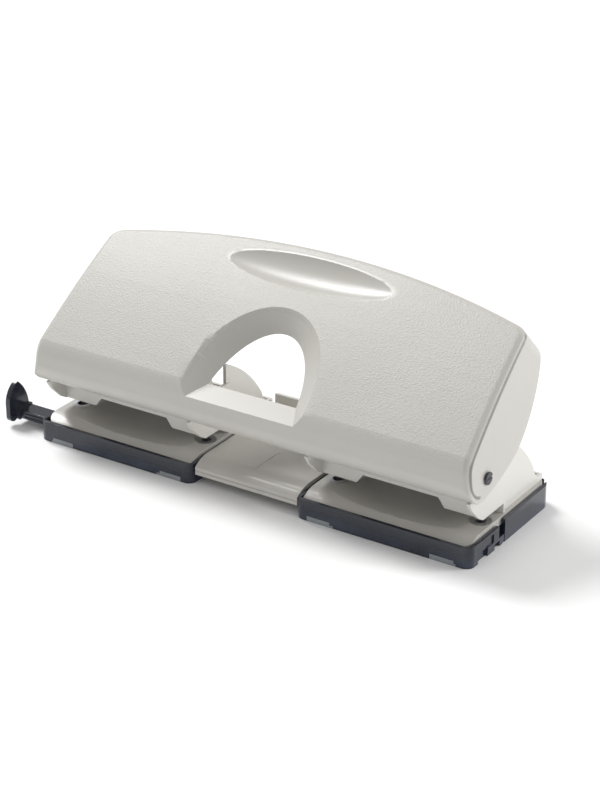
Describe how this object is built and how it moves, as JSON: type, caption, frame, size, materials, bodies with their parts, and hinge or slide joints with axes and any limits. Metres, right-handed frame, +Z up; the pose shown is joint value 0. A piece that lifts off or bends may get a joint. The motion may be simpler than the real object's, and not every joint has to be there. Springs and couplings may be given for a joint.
{
  "type": "hole punch",
  "caption": "Wide desk hole punch with a sloping pressed-metal press handle, arched window, smoky chip trays and a sliding paper guide.",
  "frame": {"origin": "middle of the rear base's flat underside", "axes": "+X across the punch to the right seen from the paper side, +Y to the rear, +Z up"},
  "size_m": [0.2829, 0.0922, 0.1078],
  "materials": {
    "cover_paint": "warm light grey leather-grain paint",
    "frame_paint": "smooth light grey paint",
    "deck_paint": "smooth glossy light grey paint",
    "plated_steel": "zinc plated",
    "bright_steel": "ground steel",
    "dark_steel": "blackened",
    "navy_plastic": "smoky dark navy, glossy",
    "rubber_pad": "grey anti-slip"
  },
  "bodies": {
    "base": {"chassis_left": "frame_paint", "chassis_right": "frame_paint", "deck_left": "deck_paint", "deck_right": "deck_paint", "bridge_plate": "deck_paint", "bridge_rail": "frame_paint", "rear_base": "navy_plastic", "base_pads": "rubber_pad", "deck_screws_left": "plated_steel", "deck_screws_right": "plated_steel", "tray_hinge_rod_left": "bright_steel", "tray_hinge_rod_right": "bright_steel", "guide_sleeve_outer": "plated_steel", "guide_sleeve_inner": "plated_steel", "die_bush_1": "plated_steel", "die_bush_2": "plated_steel", "die_bush_3": "plated_steel", "die_bush_4": "plated_steel", "return_spring_1": "bright_steel", "return_spring_2": "bright_steel", "return_spring_3": "bright_steel", "return_spring_4": "bright_steel"},
    "handle": {"handle_cover": "cover_paint", "press_bracket_left": "plated_steel", "press_bracket_right": "plated_steel", "press_bar_left": "bright_steel", "press_bar_right": "bright_steel", "axle": "bright_steel", "axle_screw_left": "dark_steel", "axle_screw_right": "dark_steel"},
    "tray_left": {"chip_tray_left": "navy_plastic", "tray_feet_left": "rubber_pad"},
    "tray_right": {"chip_tray_right": "navy_plastic", "tray_feet_right": "rubber_pad"},
    "guide": {"guide_bar": "navy_plastic", "guide_paddle": "navy_plastic"},
    "pin_1": {"punch_pin_1": "bright_steel", "circlip_1": "dark_steel"},
    "pin_2": {"punch_pin_2": "bright_steel", "circlip_2": "dark_steel"},
    "pin_3": {"punch_pin_3": "bright_steel", "circlip_3": "dark_steel"},
    "pin_4": {"punch_pin_4": "bright_steel", "circlip_4": "dark_steel"}
  },
  "joints": [
    {"name": "handle_press", "type": "hinge", "parent": "base", "child": "handle", "pos_m": [0, -0.0442, 0.043], "axis": [-1, 0, 0], "range_deg": [0, 32], "stiffness_Nm_per_rad": 0.6, "springref_deg": -34.38},
    {"name": "pin_slide_1", "type": "slide", "parent": "base", "child": "pin_1", "axis": [0, 0, -1], "range_m": [0, 0.0073], "deforming": ["return_spring_1"]},
    {"name": "pin_slide_2", "type": "slide", "parent": "base", "child": "pin_2", "axis": [0, 0, -1], "range_m": [0, 0.0073], "deforming": ["return_spring_2"]},
    {"name": "pin_slide_3", "type": "slide", "parent": "base", "child": "pin_3", "axis": [0, 0, -1], "range_m": [0, 0.0073], "deforming": ["return_spring_3"]},
    {"name": "pin_slide_4", "type": "slide", "parent": "base", "child": "pin_4", "axis": [0, 0, -1], "range_m": [0, 0.0073], "deforming": ["return_spring_4"]},
    {"name": "tray_drop_left", "type": "hinge", "parent": "base", "child": "tray_left", "pos_m": [0, -0.027, 0.0024], "axis": [1, 0, 0], "range_deg": [0, 60]},
    {"name": "tray_drop_right", "type": "hinge", "parent": "base", "child": "tray_right", "pos_m": [0, -0.027, 0.0024], "axis": [1, 0, 0], "range_deg": [0, 60]},
    {"name": "guide_slide", "type": "slide", "parent": "base", "child": "guide", "axis": [-1, 0, 0], "range_m": [-0.005, 0.065]}
  ],
  "couplings": [
    {"joint": "pin_slide_1", "follows": "handle_press", "m_per_rad": 0.012892},
    {"joint": "pin_slide_2", "follows": "handle_press", "m_per_rad": 0.012892},
    {"joint": "pin_slide_3", "follows": "handle_press", "m_per_rad": 0.012892},
    {"joint": "pin_slide_4", "follows": "handle_press", "m_per_rad": 0.012892}
  ]
}
